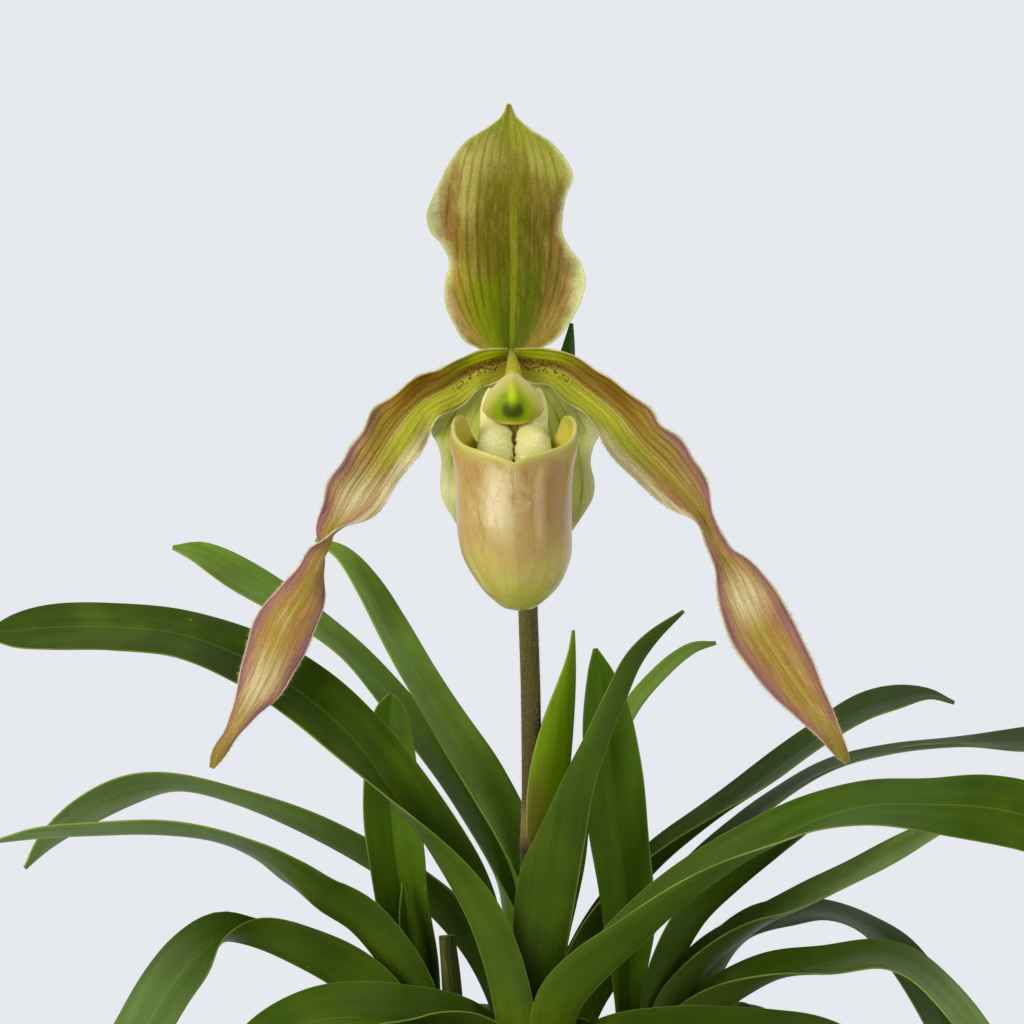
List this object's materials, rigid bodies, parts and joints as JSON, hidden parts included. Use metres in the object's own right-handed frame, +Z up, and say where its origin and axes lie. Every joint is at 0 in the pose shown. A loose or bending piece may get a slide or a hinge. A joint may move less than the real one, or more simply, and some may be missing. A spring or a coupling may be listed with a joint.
{
  "type": "potted phragmipedium richteri",
  "caption": "Slipper orchid in a round pot: one open flower with a pouch and long twisted petals on a hairy stem above fans of strap leaves.",
  "frame": {"origin": "middle of the pot's foot, on the table", "axes": "+Z up along the pot; the flower faces -Y, and +X is to the right of someone who looks at the flower"},
  "size_m": [0.2628, 0.1414, 0.3189],
  "materials": {
    "pot": "plain pale satin glaze",
    "bark": "rough dry bark chips",
    "crown": "matt, fibrous",
    "leaf": "waxy green leaf with a soft sheen",
    "dry_sheath": "dry and papery",
    "stem": "dark olive brown, finely hairy",
    "sheath": "fresh bright green, satin",
    "sepal": "soft, veined",
    "petal": "soft, veined, finely hairy at the margins",
    "pouch": "waxy gloss",
    "column": "soft satin"
  },
  "bodies": {
    "root": {"pot": "pot", "bark_mix": "bark", "crown_front": "crown", "crown_left": "crown", "crown_right": "crown", "crown_back": "crown", "crown_far": "crown", "crown_young": "crown", "leaf_front_left": "leaf", "leaf_front_right": "leaf", "leaf_front_centre": "leaf", "leaf_front_low_left": "leaf", "leaf_front_low_right": "leaf", "leaf_left_upright": "leaf", "leaf_left_new": "leaf", "leaf_left_middle": "leaf", "leaf_left_low": "leaf", "leaf_right_upright": "leaf", "leaf_right_inner": "leaf", "leaf_right_middle": "leaf", "leaf_right_low": "leaf", "leaf_back_left_arching": "leaf", "leaf_back_left_long": "leaf", "leaf_back_left_tall": "leaf", "leaf_back_right_thin": "leaf", "leaf_back_right_short": "leaf", "leaf_back_right_long": "leaf", "leaf_back_low_left": "leaf", "leaf_far_arching": "leaf", "leaf_far_low": "leaf", "old_sheath": "dry_sheath", "flower_stem": "stem", "stem_sheath": "sheath", "ovary": "stem", "floral_bract": "sheath", "dorsal_sepal": "sepal", "synsepal": "sepal", "petal_left": "petal", "petal_right": "petal", "pouch": "pouch", "column": "column", "staminode": "column"}
  },
  "joints": []
}
